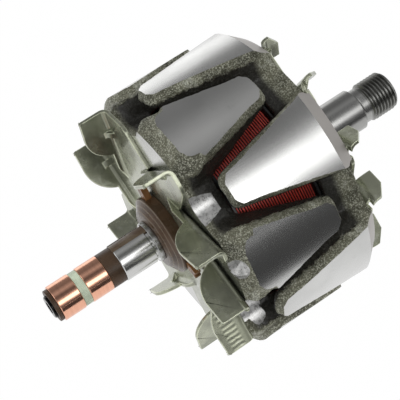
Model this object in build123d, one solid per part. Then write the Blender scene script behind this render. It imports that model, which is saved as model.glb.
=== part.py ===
from build123d import *
from math import radians, sqrt, tan
import os

# Claw-pole alternator rotor
# Modelled about a turning axis, Z from the slip rings to the drive end, with zero at the middle
# of the drive end bearing's seat and a claw of the drive half at angle zero. At the end it is
# turned to the roll that it rests in and laid down along +X. Lengths in mm, angles in degrees.

# Shaft
drive_journal_radius = 8.5
drive_journal_length = 18.3
spacer_seat_radius = 8.7
relief_radius = 7.2
relief_length = 4.2
thread_radius = 8.0
thread_length = 12.0
thread_chamfer = 1.3
edge_run = 0.8
pole_seat_radius = 9.2
rear_journal_radius = 7.5
rear_journal_length = 13.6
rear_groove_radius = 6.7
rear_groove_length = 1.0
collar_seat_radius = 7.7
ring_seat_radius = 4.6
nose_recess_radius = 2.4
nose_recess_depth = 3.0

# Pole halves
pole_radius = 54.0
claws_per_half = 6
stack_length = 57.0
disc_thickness = 12.2
core_radius = 27.0
valley_radius = 44.5
valley_slope = 12.0
valley_round = 7.0
shoulder_drop = 5.0
shoulder_length = 5.8
claw_base_width = 30.6
claw_tip_width = 12.6
claw_base_corner = 4.5
claw_tip_corner = 3.8
claw_tip_thickness = 4.6
claw_root_thickness = 13.4
claw_edge_height = 3.0
claw_edge_slope = 37.0
rear_claw_reach = 43.2
drive_claw_reach = 46.8
resting_turn = 50.5

# Balance drillings in the rear shoulders and balance cuts between the rear claws
balance_drill_radius = 4.1
balance_drill_depth = 2.6
balance_point_angle = 118.0
balance_drill_angles = (29.3, 105.0)
balance_drill_rise = 1.2
balance_cut_radius = 8.0
balance_cut_depth = 2.2
balance_cut_length = 8.5
balance_cut_angles = (0.0, 62.0)

# Field coil
bobbin_wall = 1.1
bobbin_gap = 0.3
coil_crown = 0.8
coil_crown_run = 4.0
petal_width_share = 0.86
petal_end_gap = 6.0

# Both fans
fan_sheet = 1.5
lobe_share = 0.305
lobe_corner = 5.0
gusset_width = 2.4
gusset_reach = 2.0

# Fan at the slip ring end, its blades' outer ends at these angles from a drive claw
rear_fan_radius = 52.6
rear_fan_hub = 28.0
rear_fan_lean = 29.8
rear_fan_bend = 3.2
rear_blade_length = 21.4
rear_blade_height = 13.2
rear_blade_outer_height = 11.9
rear_blade_round = 12.0
rear_blade_corner = 1.0
rear_crease_length = 36.5
rear_crease_height = 4.0
rear_valley_length = 26.5
rear_blade_angles = (17.1, 45.3, 71.9, 117.6, 160.1, 196.0, 240.6, 285.8, 340.2)

# Fan at the drive end
drive_fan_radius = 49.0
drive_fan_hub = 36.0
drive_fan_lean = 22.0
drive_fan_bend = 4.6
drive_blade_length = 11.5
drive_blade_height = 9.0
drive_blade_outer_height = 5.4
drive_blade_top = 6.6
drive_relief_height = 1.8
drive_relief_length = 2.3
drive_blade_angles = (11.1, 39.9, 79.6, 113.6, 155.6, 191.6, 223.0, 267.0, 305.0, 336.1)

# Slip ring assembly
ring_radius = 7.2
ring_width = 9.1
ring_wall = 1.6
insulator_width = 3.2
insulator_radius = 6.9
sleeve_radius = 7.1
sleeve_length = 5.8
rim_length = 1.6
rim_radius = 6.5
nose_length = 1.0

# Collar, lead disc and the leads between the rings and the coil
collar_radius = 8.3
collar_length = 1.9
lead_disc_radius = 16.2
lead_disc_boss_radius = 11.5
lead_disc_boss_length = 3.0
lead_disc_length = 7.4
tongue_angle = -60.0
tongue_width = 6.0
tongue_height = 1.6
tongue_sink = 0.2
tongue_side_gap = 0.1
ear_angles = (-65.0, 65.0)
ear_width = 4.4
ear_thickness = 2.6
ear_reach = 5.4
ear_seat_depth = 1.6
ear_notch_radius = 0.9

# Spacer behind the drive end bearing
spacer_length = 10.0
spacer_radius = 12.0

# Stations along the axis, worked out from the lengths above
seat_start = -drive_journal_length / 2
seat_end = drive_journal_length / 2
thread_start = seat_end + relief_length
thread_end = thread_start + thread_length
drive_fan_face = seat_start - spacer_length
drive_pole_back = drive_fan_face - fan_sheet
rear_pole_back = drive_pole_back - stack_length
rear_fan_face = rear_pole_back - fan_sheet
lead_disc_face = rear_fan_face - lead_disc_length
collar_face = lead_disc_face - collar_length
journal_end = collar_face - rear_groove_length
journal_start = journal_end - rear_journal_length
rear_ring_end = journal_start - sleeve_length
rear_ring_start = rear_ring_end - ring_width
front_ring_end = rear_ring_start - insulator_width
front_ring_start = front_ring_end - ring_width
rim_start = front_ring_start - rim_length
nose_face = rim_start - nose_length

# Radii that follow from the lengths above
claw_root_radius = pole_radius - claw_root_thickness
claw_tip_radius = pole_radius - claw_tip_thickness
shoulder_radius = pole_radius - shoulder_drop
coil_inner_radius = core_radius + bobbin_gap + bobbin_wall
coil_edge_radius = claw_root_radius - 2 * bobbin_gap - bobbin_wall
tongue_outer_radius = rear_journal_radius - tongue_sink
tongue_inner_radius = tongue_outer_radius - tongue_height

outward = Plane(origin=(0, 0, 0), x_dir=(0, 1, 0), z_dir=(1, 0, 0))


def polar(radius, angle):
    """Point or direction across the axis, by its distance from the axis and its angle."""
    return Vector(radius, 0, 0).rotate(Axis.Z, angle)


def turned(points):
    """Solid of revolution about Z from (radius, height) points."""
    return revolve(Plane.XZ * make_face(Polyline(*points, close=True)), Axis.Z)


def ring(inner, outer, start, end):
    """Plain ring about Z."""
    return turned([(inner, start), (outer, start), (outer, end), (inner, end)])


def even_angles(count):
    return [360.0 / count * step for step in range(count)]


def around(shape, angles):
    """Copies of a shape turned about Z."""
    return [Rotation(0, 0, angle) * shape for angle in angles]


def tongue_block(side_gap, inner, start, end):
    """Block across the rear journal at the tongue's angle, from an inner radius outwards."""
    reach = collar_radius + edge_run - inner
    block = Box(reach, tongue_width + 2 * side_gap, end - start, align=(Align.MIN, Align.CENTER, Align.MIN))
    return Rotation(0, 0, tongue_angle) * Location((inner, 0, start)) * block


def shaft():
    """Turned shaft, with a slot under the rear journal for the tongue that carries the leads."""
    profile = [
        (0, nose_face + nose_recess_depth),
        (nose_recess_radius, nose_face + nose_recess_depth),
        (nose_recess_radius, nose_face),
        (ring_seat_radius, nose_face),
        (ring_seat_radius, journal_start),
        (rear_journal_radius, journal_start),
        (rear_journal_radius, journal_end),
        (rear_groove_radius, journal_end),
        (rear_groove_radius, collar_face),
        (collar_seat_radius, collar_face),
        (collar_seat_radius, rear_fan_face),
        (pole_seat_radius, rear_fan_face),
        (pole_seat_radius, drive_fan_face),
        (spacer_seat_radius, drive_fan_face),
        (spacer_seat_radius, seat_start),
        (drive_journal_radius, seat_start),
        (drive_journal_radius, seat_end),
        (relief_radius, seat_end + edge_run),
        (relief_radius, thread_start),
        (thread_radius, thread_start + edge_run),
        (thread_radius, thread_end - thread_chamfer),
        (thread_radius - thread_chamfer, thread_end),
        (0, thread_end),
    ]
    slot = tongue_block(tongue_side_gap, tongue_inner_radius, journal_start, lead_disc_face)
    return turned(profile) - slot


def pole_blank(reach):
    """Turned form of one pole half: disc, half core and the ring that the claws are cut from."""
    return turned([
        (pole_seat_radius, 0),
        (shoulder_radius, 0),
        (pole_radius, shoulder_length),
        (pole_radius, reach),
        (claw_tip_radius, reach),
        (claw_root_radius, disc_thickness),
        (core_radius, disc_thickness),
        (core_radius, stack_length / 2),
        (pole_seat_radius, stack_length / 2),
    ])


def claw_half_width(height, reach):
    """Half the width of a claw at a height above its back."""
    along = (height - shoulder_length) / (reach - shoulder_length)
    return (claw_base_width + (claw_tip_width - claw_base_width) * along) / 2


def claw_outline(reach):
    """Outline of one claw seen from outside: up the page is along the axis, its back at zero."""
    base = claw_base_width / 2
    tip = claw_tip_width / 2
    face = make_face(Polyline((-base, 0), (base, 0), (base, shoulder_length), (tip, reach), (-tip, reach),
                              (-base, shoulder_length), close=True))
    levels = face.vertices().group_by(Axis.Y)
    face = fillet(levels[-1], claw_tip_corner)
    return fillet(face.vertices().group_by(Axis.Y)[0], claw_base_corner)


def claw_mask(reach):
    """Block that keeps one claw of the blank, its long edges sloped off near the face."""
    edge_radius = pole_radius - claw_edge_height
    straight = extrude(outward * claw_outline(reach), edge_radius)
    lip = extrude(outward.offset(edge_radius) * claw_outline(reach), claw_edge_height + edge_run,
                  taper=claw_edge_slope)
    return straight + lip


def disc_plan(reach):
    """Plan of the disc behind the claws: valleys that blend into the claws' roots."""
    root = 2 * claw_half_width(disc_thickness, reach)
    plan = Circle(valley_radius)
    for angle in even_angles(claws_per_half):
        plan = plan + Rotation(0, 0, angle) * Location((pole_radius / 2, 0)) * Rectangle(pole_radius, root)
    inner = [corner for corner in plan.vertices() if corner.center().length < valley_radius + edge_run]
    return fillet(inner, valley_round)


def pole_half(reach):
    """One forged half: a turned blank, cut to its claws and to the valleys between them."""
    keep = extrude(disc_plan(reach), disc_thickness, taper=valley_slope)
    keep = keep + Cylinder(core_radius, stack_length, align=(Align.CENTER, Align.CENTER, Align.MIN))
    for piece in around(claw_mask(reach), even_angles(claws_per_half)):
        keep = keep + piece
    return pole_blank(reach) & keep


def balance_drill():
    """Blind hole with a conical bottom, drilled square into the sloped shoulder at angle zero."""
    radius = shoulder_radius + shoulder_drop * balance_drill_rise / shoulder_length
    inward = Plane(origin=(radius, 0, balance_drill_rise), z_dir=(-shoulder_length, 0, shoulder_drop))
    point = balance_drill_radius / tan(radians(balance_point_angle / 2))
    profile = make_face(Polyline((0, -shoulder_drop), (balance_drill_radius, -shoulder_drop),
                                 (balance_drill_radius, balance_drill_depth),
                                 (0, balance_drill_depth + point), close=True))
    return inward.location * revolve(Plane.XZ * profile, Axis.Z)


def balance_cut():
    """Milled scallop in the floor of a valley, open to the back of the disc."""
    cutter = Cylinder(balance_cut_radius, balance_cut_length, align=(Align.CENTER, Align.CENTER, Align.MIN))
    return Location((valley_radius + balance_cut_radius - balance_cut_depth, 0, 0)) * cutter


def rear_pole():
    half = Rotation(0, 0, 180 / claws_per_half) * pole_half(rear_claw_reach)
    for hole in around(balance_drill(), balance_drill_angles):
        half = half - hole
    for cut in around(balance_cut(), balance_cut_angles):
        half = half - cut
    return Location((0, 0, rear_pole_back)) * half


def drive_pole():
    return drive_half * pole_half(drive_claw_reach)


def petal(reach):
    """Insulating flap of the bobbin that lies along the inner face of a claw."""
    root = claw_root_radius - bobbin_gap
    tip = claw_tip_radius - bobbin_gap
    slope = (tip - root) / (reach - disc_thickness)
    start = disc_thickness + bobbin_gap
    end = reach - petal_end_gap
    end_radius = root + slope * (end - disc_thickness)
    sheet = turned([
        (root - bobbin_wall, start), (root, start), (end_radius, end), (end_radius - bobbin_wall, end)])
    base_width = claw_half_width(start, reach) * petal_width_share
    end_width = claw_half_width(end, reach) * petal_width_share
    cut = make_face(Polyline((-base_width, start), (base_width, start), (end_width, end), (-end_width, end),
                             close=True))
    return sheet & extrude(outward * cut, pole_radius)


def bobbin_side(reach):
    """One flange of the bobbin with its flaps, seen from its own pole half."""
    start = disc_thickness + bobbin_gap
    side = ring(core_radius + bobbin_gap, claw_root_radius - bobbin_gap, start, start + bobbin_wall)
    for flap in around(petal(reach), even_angles(claws_per_half)):
        side = side + flap
    return side


rear_half = Location((0, 0, rear_pole_back)) * Rotation(0, 0, 180 / claws_per_half)
drive_half = Location((0, 0, drive_pole_back)) * Rotation(180, 0, 0)


def bobbin():
    tube = ring(core_radius + bobbin_gap, coil_inner_radius,
                rear_pole_back + disc_thickness + bobbin_gap,
                drive_pole_back - disc_thickness - bobbin_gap)
    return tube + rear_half * bobbin_side(rear_claw_reach) + drive_half * bobbin_side(drive_claw_reach)


def field_winding():
    """The wound coil as one ring, slightly crowned between the bobbin's flanges."""
    side = disc_thickness + bobbin_gap + bobbin_wall
    start = rear_pole_back + side
    end = drive_pole_back - side
    crown = coil_edge_radius + coil_crown
    return turned([
        (coil_inner_radius, start), (coil_edge_radius, start), (crown, start + coil_crown_run),
        (crown, end - coil_crown_run), (coil_edge_radius, end), (coil_inner_radius, end)])


def rear_blade_outline():
    """Blade seen square on, its outer end at zero: a D form, with the low wall that runs inwards."""
    blade = make_face(Polyline((0, 0), (0, rear_blade_outer_height), (rear_blade_length, rear_blade_height),
                               (rear_blade_length, 0), close=True))
    tops = blade.vertices().sort_by(Axis.Y)[-2:].sort_by(Axis.X)
    blade = fillet(tops[1], rear_blade_round)
    tops = blade.vertices().filter_by(lambda corner: corner.X < rear_blade_corner and corner.Y > 0)
    blade = fillet(tops, rear_blade_corner)
    wall = make_face(Polyline((0, 0), (0, rear_crease_height),
                              (rear_crease_length - 2 * rear_crease_height, rear_crease_height),
                              (rear_crease_length, fan_sheet), (rear_crease_length, 0), close=True))
    return blade + wall


def drive_blade_outline():
    """Blade seen square on, its outer end at zero: corners cut off, a relief beside the bend."""
    return make_face(Polyline(
        (drive_relief_length, 0), (drive_relief_length, drive_relief_height), (0, drive_relief_height),
        (0, drive_blade_outer_height), (drive_blade_length - drive_blade_top, drive_blade_height),
        (drive_blade_length, drive_blade_height), (drive_blade_length, 0), close=True))


def bent_blade(outline, length, height, bend, rib_place):
    """Sheet bent up from the plate: x runs inwards along the crease, y up the blade, z over the plate."""
    section = make_face([
        CenterArc((bend, bend), bend, 180, 90),
        Line((bend, 0), (bend + fan_sheet, 0)),
        Line((bend + fan_sheet, 0), (bend + fan_sheet, fan_sheet)),
        Line((bend + fan_sheet, fan_sheet), (bend, fan_sheet)),
        CenterArc((bend, bend), bend - fan_sheet, 270, -90),
        Line((fan_sheet, bend), (fan_sheet, height)),
        Line((fan_sheet, height), (0, height)),
        Line((0, height), (0, bend)),
    ])
    stand = Plane(origin=(0, 0, 0), x_dir=(0, 0, 1), z_dir=(-1, 0, 0))
    sheet = extrude(stand * section, -length)
    return (sheet & extrude(outline, bend + 2 * fan_sheet)) + gusset(stand, bend, rib_place)


def gusset(stand, bend, place):
    """Rib pressed across the bend, which stiffens the blade."""
    middle = bend - (bend - fan_sheet / 2) / sqrt(2)
    reach = bend + gusset_reach
    rib = make_face(Polyline((fan_sheet / 2, bend), (middle, middle), (bend, fan_sheet / 2),
                             (reach, fan_sheet / 2), (fan_sheet / 2, reach), close=True))
    return Location((place, 0, 0)) * extrude(stand * rib, gusset_width / 2, both=True)


def fan_lobe(radius, lean, bend, crease, valley, angle, next_angle):
    """Lobe of plate beside a blade's crease, as far as the next blade's crease."""
    side = polar(1, angle + lean + 90)
    next_side = polar(1, next_angle + lean + 90)
    end = polar(radius, angle)
    next_end = polar(radius, next_angle)
    width = lobe_share * radius * radians(next_angle - angle)
    corner = end + side * width
    lobe = make_face(Polyline(
        end + side * bend, corner, next_end - polar(valley, next_angle + lean),
        next_end - polar(crease, next_angle + lean) + next_side * bend,
        end - polar(crease, angle + lean) + side * bend, close=True))
    tip = lobe.vertices().sort_by_distance(corner)[0]
    return fillet(tip, min(lobe_corner, width / 2))


def fan(angles, radius, lean, hub, bend, crease, valley, blade):
    """Stamped fan on a plate at zero: blades bent up, each with a lobe of plate on one side of it."""
    plate = Circle(hub)
    following = angles[1:] + (angles[0] + 360,)
    for angle, next_angle in zip(angles, following):
        plate = plate + fan_lobe(radius, lean, bend, crease, valley, angle, next_angle)
    body = extrude(plate, fan_sheet)
    for angle in angles:
        place = Plane(origin=polar(radius, angle), x_dir=polar(-1, angle + lean),
                      z_dir=polar(1, angle + lean + 90))
        body = body + place.location * blade
    return body - Cylinder(pole_seat_radius, 2 * radius)


def rear_fan():
    """Fan at the slip ring end: nine tall blades, unevenly spaced."""
    blade = bent_blade(rear_blade_outline(), rear_crease_length, rear_blade_height, rear_fan_bend,
                       rear_blade_length / 2)
    whole = fan(rear_blade_angles, rear_fan_radius, rear_fan_lean, rear_fan_hub, rear_fan_bend,
                rear_crease_length, rear_valley_length, blade)
    return Location((0, 0, rear_pole_back)) * mirror(whole, about=Plane.XY)


def drive_fan():
    """Fan at the drive end: ten short blades, unevenly spaced."""
    blade = bent_blade(drive_blade_outline(), drive_blade_length, drive_blade_height, drive_fan_bend,
                       (drive_relief_length + drive_blade_length) / 2)
    whole = fan(drive_blade_angles, drive_fan_radius, drive_fan_lean, drive_fan_hub, drive_fan_bend,
                drive_blade_length, drive_blade_length, blade)
    return Location((0, 0, drive_pole_back)) * whole


def slip_ring(start):
    return ring(ring_radius - ring_wall, ring_radius, start, start + ring_width)


def ring_carrier():
    """Moulded carrier: tube under both rings, end rim and the sleeve beside the journal."""
    tube = ring_radius - ring_wall
    return turned([
        (ring_seat_radius, rim_start), (rim_radius, rim_start), (rim_radius, front_ring_start),
        (tube, front_ring_start), (tube, rear_ring_end), (sleeve_radius, rear_ring_end),
        (sleeve_radius, journal_start), (ring_seat_radius, journal_start)])


def ring_insulator():
    return ring(ring_radius - ring_wall, insulator_radius, front_ring_end, rear_ring_start)


def ear_block():
    """Terminal tab that stands out of the lead disc's rim, at angle zero."""
    middle = (lead_disc_face + lead_disc_boss_length + rear_fan_face) / 2
    inner = lead_disc_radius - ear_seat_depth
    block = Box(ear_seat_depth + ear_reach, ear_width, ear_thickness,
                align=(Align.MIN, Align.CENTER, Align.CENTER))
    return Location((inner, 0, middle)) * block


def lead_disc():
    """Moulded disc that carries the coil leads from the journal to the fan, with pockets for the ears."""
    disc = turned([
        (collar_seat_radius, lead_disc_face), (lead_disc_boss_radius, lead_disc_face),
        (lead_disc_radius, lead_disc_face + lead_disc_boss_length), (lead_disc_radius, rear_fan_face),
        (collar_seat_radius, rear_fan_face)])
    for pocket in around(ear_block(), ear_angles):
        disc = disc - pocket
    return disc


def lead_ear(angle):
    """Terminal with a notch across its end, which the coil's wire is wound into."""
    block = ear_block()
    outer = lead_disc_radius + ear_reach
    notch = Location((outer, 0, block.center().Z)) * Cylinder(ear_notch_radius, 2 * ear_thickness)
    return Rotation(0, 0, angle) * (block - notch)


def lead_tongue():
    """Flat moulded strip in the shaft's slot that carries the leads under the rear bearing."""
    block = tongue_block(0, tongue_inner_radius, journal_start, lead_disc_face)
    return block & ring(tongue_inner_radius, tongue_outer_radius, journal_start, lead_disc_face)


def collar():
    """Steel stop ring between the rear journal and the lead disc."""
    return ring(collar_seat_radius, collar_radius, collar_face, lead_disc_face)


def spacer():
    return ring(spacer_seat_radius, spacer_radius, drive_fan_face, seat_start)


nodes = {
    "shaft": shaft(),
    "rear_pole": rear_pole(),
    "drive_pole": drive_pole(),
    "bobbin": bobbin(),
    "field_winding": field_winding(),
    "rear_fan": rear_fan(),
    "drive_fan": drive_fan(),
    "front_slip_ring": slip_ring(front_ring_start),
    "rear_slip_ring": slip_ring(rear_ring_start),
    "ring_insulator": ring_insulator(),
    "ring_carrier": ring_carrier(),
    "lead_disc": lead_disc(),
    "front_lead_ear": lead_ear(ear_angles[0]),
    "rear_lead_ear": lead_ear(ear_angles[1]),
    "lead_tongue": lead_tongue(),
    "collar": collar(),
    "spacer": spacer(),
}

lying = Plane(origin=(0, 0, 0), x_dir=(0, 0, 1), z_dir=(1, 0, 0)).location * Rotation(0, 0, resting_turn)
os.makedirs("parts", exist_ok=True)
for name, shape in nodes.items():
    export_step(lying * shape, "parts/" + name + ".step")
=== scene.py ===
import math

import bpy
from bpy.props import FloatProperty, FloatVectorProperty, PointerProperty
from mathutils import Euler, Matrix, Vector


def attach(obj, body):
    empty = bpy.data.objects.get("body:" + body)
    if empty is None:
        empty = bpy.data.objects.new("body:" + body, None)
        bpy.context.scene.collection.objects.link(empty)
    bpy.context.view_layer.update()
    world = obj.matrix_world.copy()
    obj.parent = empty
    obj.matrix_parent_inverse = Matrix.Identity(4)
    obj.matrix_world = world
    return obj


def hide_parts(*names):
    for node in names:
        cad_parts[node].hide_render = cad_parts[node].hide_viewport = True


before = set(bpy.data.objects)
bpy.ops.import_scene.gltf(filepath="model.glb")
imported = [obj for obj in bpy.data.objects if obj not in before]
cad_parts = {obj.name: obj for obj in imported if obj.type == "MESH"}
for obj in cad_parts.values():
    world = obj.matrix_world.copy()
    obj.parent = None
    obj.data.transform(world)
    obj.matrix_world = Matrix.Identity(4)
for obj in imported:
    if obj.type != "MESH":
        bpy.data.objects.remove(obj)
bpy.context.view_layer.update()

bl_info = {
    "name": "Claw-Pole Rotor",
    "version": (1, 0, 0),
    "blender": (4, 5, 0),
    "location": "View3D > Sidebar > Rotor",
    "description": "Forges, turns, stamps and winds a claw-pole rotor around its CAD frame",
    "category": "Object",
}

MM = 0.001

# Distances within which vertices merge, in metres
MERGE = 0.000002
CAD_MERGE = 0.000003

# Stations along the shaft in mm, as in the part's source
NOSE_FACE = -132.85
JOURNAL = (-103.05, -89.45)
COLLAR_FACE = -88.45
LEAD_DISC_FACE = -86.55
REAR_FAN_FACE = -79.15
REAR_POLE_BACK = -77.65
COIL = (-64.05, -34.25)
DRIVE_POLE_BACK = -20.65
DRIVE_FAN_FACE = -19.15
SEAT = (-9.15, 9.15)
THREAD = (13.35, 25.35)

# Shaft in mm and degrees, as in the part's source
RING_SEAT_RADIUS = 4.6
JOURNAL_RADIUS = 7.5
GROOVE_RADIUS = 6.7
COLLAR_SEAT_RADIUS = 7.7
POLE_SEAT_RADIUS = 9.2
SPACER_SEAT_RADIUS = 8.7
SEAT_RADIUS = 8.5
RELIEF_RADIUS = 7.2
THREAD_RADIUS = 8.0
THREAD_CHAMFER = 1.3
RECESS_RADIUS = 2.4
RECESS_DEPTH = 3.0
TONGUE_ANGLE = -60.0
TONGUE_SLOT_WIDTH = 6.2
TONGUE_SLOT_FLOOR = 5.7

# Shaft details in mm: chamfers, the fillet and centre hole as (distance, radius) steps, and the thread
NOSE_CHAMFER = 0.4
JOURNAL_CHAMFER = 0.3
SEAT_CHAMFER = 0.2
RELIEF_FILLET = ((0.8, 7.3), (1.2, RELIEF_RADIUS))
CENTRE_HOLE = ((0.0, 3.0), (1.6, 1.6), (3.4, 0.2))
SLOT_TOOL_HEIGHT = 4.0
ROOT_START = 0.15
ROOT_END = 0.3
RIDGE_SINK = 0.15
RIDGE_START = 0.1
RIDGE_ENDS = (THREAD[0] + 0.05, THREAD[1] - 0.02)
RUN_IN_RADIUS = 7.1
RUN_IN_SLOPE = 1.1

# Half widths of the thread's ridge at its foot and its crest, as shares of the pitch
RIDGE_FOOT = 0.44
RIDGE_CREST = 0.07

# Pole halves in mm and degrees, as in the part's source. Angles are taken from a drive claw
POLE_RADIUS = 54.0
SHOULDER_RADIUS = 49.0
SHOULDER_LENGTH = 5.8
RESTING_TURN = 50.5
CLAW_PITCH = 60.0
CLAW_WIDTHS = (30.6, 12.6)
LIP_WIDTH = 2.26
REAR_REACH = 43.2
DRIVE_REACH = 46.8
DRILL_ANGLES = (29.3, 105.0)
DRILL_RISE = 1.2
DRILL_RADIUS = 4.1
DRILL_DEPTH = 2.6
DRILL_POINT = 2.46

# Milled cuts, deeper than in the part's source: angle, and the mill's distance from the shaft axis
CUTS = ((0.0, 50.3), (62.0, 49.2))
CUT_RADIUS = 8.4
CUT_LENGTH = 8.5
CUT_START = 1.0

# Forging in mm: what is spare on the faces and near the tips, and the rounded corners of the rear faces
FACE_SPARE = 0.9
TIP_SPARE = 2.4
TIP_ZONE = 8.0
ON_FACE = 0.1
ON_BACK = 0.05
CORNER = 5.0
CORNER_SLOPE = 0.85
CORNER_DEPTH = 2.4
FACE_INSET = LIP_WIDTH * 0.8
GROUND_RADIUS = POLE_RADIUS - 0.002
BLANK_LENGTH = 60.0

# Least and most that the normals of a blank's cone point along the shaft
CONE_NORMALS = (0.3, 0.95)

# Relief that forging leaves: kind, size in mm, and depth as a share of the forging relief
FORGED_RELIEF = (("lumps", 6.0, 1.4), ("grain", 1.3, 1.5))

# Field coil in mm
COIL_BORE = 28.6
COIL_EDGE = 38.9
COIL_CROWN = 0.8
COIL_RUN = 4.0
CROWN_GAP = 0.02
CORE_SINK = 0.7
WIRE_SINK = 0.5

# Radius of the wire over its pitch
WIRE_FILL = 0.44

# How the turns waver: radians a metre along the shaft, waves round it, and the most they shift in metres
WAVER = ((2100.0, 3.0), (830.0, -5.0))
WAVER_SHIFT = 0.00006

# Where the shaft's finish changes, where the black between the claws lies (varnished, and partly painted
# shade), and where bending wrinkles lie, in mm
SEAT_DULLS = (SEAT[0] - 2.5, SEAT[0] - 0.5)
THREAD_DULLS = (THREAD[0] - 1.0, THREAD[0] - 0.6)
NOSE_DARKENS = (NOSE_FACE + 3.3, NOSE_FACE + 3.5)
SHADE_AND_VARNISH_STARTS = (-76.5, -73.5)
SHADE_AND_VARNISH_ENDS = (-29.0, -26.0)
SHADE_AND_VARNISH_TOP = (50.0, 50.9)
WRINKLES_START = (-88.0, -86.5)
WRINKLES_END = (-82.5, -81.5)
WRINKLES_ASIDE = (-22.0, -15.0)
WRINKLES_BELOW = (-6.0, -2.0)

# Colours that lie over the base colours
DULL_STEEL = (0.23, 0.23, 0.22)
DARK_RECESS = (0.01, 0.01, 0.01)
TURNED_SHOULDER = (0.40, 0.38, 0.36)
# Pale flecks of the forged scale, partly painted glints
PALE_SPECKS_AND_GLINTS = (0.72, 0.73, 0.6)
RUBBED_SCALE = (0.55, 0.56, 0.5)
# Black of the claws' side walls, tips and valleys: partly varnished resin, partly painted shade
BLACK_VARNISH_AND_SHADE = (0.012, 0.011, 0.010)
MILLED_LOW = (0.46, 0.46, 0.45)
MILLED_HIGH = (0.72, 0.72, 0.71)
PALE_STAINS = (0.74, 0.76, 0.68)
RESIN_CRESTS = (0.26, 0.21, 0.15)
WHITE = (1.0, 1.0, 1.0)

# Floor and dark card in metres. The card shows only in what the steel mirrors
FLOOR_SIZE = 6.0
FLOOR_PLACE = (-0.05, 0.0)
FLOOR_GAP = 0.0002
FLOOR_WHITENESS = 0.995
CARD_SIZE = (1.4, 1.28, 1.0)
CARD_PLACE = (0.5, -0.745)
CARD_LIFT = 0.001
CARD_TONES = ((0.035, 0.035, 0.035), (0.055, 0.055, 0.055))

# Lamps: name, bearing and rise in degrees, width and height in metres, power in watts
LAMPS = (
    ("key", -80.0, 29.0, 0.50, 0.34, 1.0),
    ("side", 80.0, 14.0, 0.50, 0.40, 0.5),
    ("ring_end", 172.0, 35.0, 0.45, 0.45, 0.9),
    ("thread_end", -20.0, 40.0, 0.40, 0.40, 0.5),
)
LAMP_AIM = (-0.055, 0.0, 0.0)
LAMP_DISTANCE = 0.9

# Light from the world round the shaft: degrees from overhead towards -Y, and level
STRIPS = (
    (-90.0, 0.85), (-70.0, 0.5), (-58.0, 0.28), (-24.0, 0.2), (2.0, 0.5), (22.0, 0.12),
    (36.0, 0.18), (49.0, 0.75), (57.0, 1.1), (66.0, 1.15), (76.0, 0.6), (85.0, 0.1),
)
SHAFT_ENDS = (0.55, 0.95)
LIGHT_AT_ENDS = (0.5, 0.5, 0.5)
LIGHT_ON_MATT = (0.7, 0.7, 0.7)

# Camera in metres and degrees, at the photograph's angle
CAMERA_PLACE = (-0.18115, -0.36152, 0.30185)
CAMERA_TURN = (49.8692, 16.8906, -31.7522)
CAMERA_LENS = 115.389
CAMERA_CLIP = (0.02, 20.0)


# Shader graphs

class Wire:
    """Output of a shader node that takes part in Python expressions."""

    def __init__(self, graph, socket):
        self.graph = graph
        self.socket = socket

    def _pair(self, operation, first, second):
        return self.graph.add("Math", {"operation": operation}, {0: first, 1: second})

    def __add__(self, other):
        return self._pair("ADD", self, other)

    def __sub__(self, other):
        return self._pair("SUBTRACT", self, other)

    def __rsub__(self, other):
        return self._pair("SUBTRACT", other, self)

    def __mul__(self, other):
        return self._pair("MULTIPLY", self, other)

    def __truediv__(self, other):
        return self._pair("DIVIDE", self, other)

    def __rtruediv__(self, other):
        return self._pair("DIVIDE", other, self)

    __radd__ = __add__
    __rmul__ = __mul__

    def through(self, operation):
        """A function of this value alone, such as SINE."""
        return self.graph.add("Math", {"operation": operation}, {0: self})

    def step(self, low, high, start=0.0, end=1.0):
        """Smooth step from start to end as this value goes from low to high."""
        sockets = {"Value": self, "From Min": low, "From Max": high, "To Min": start, "To Max": end}
        return self.graph.add("MapRange", {"interpolation_type": "SMOOTHSTEP"}, sockets)

    def past(self, stretch):
        """0 before a stretch in mm and 1 past it."""
        return self.step(stretch[0] * MM, stretch[1] * MM)

    def before(self, stretch):
        """1 before a stretch in mm and 0 past it."""
        return self.step(stretch[0] * MM, stretch[1] * MM, 1.0, 0.0)


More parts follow.
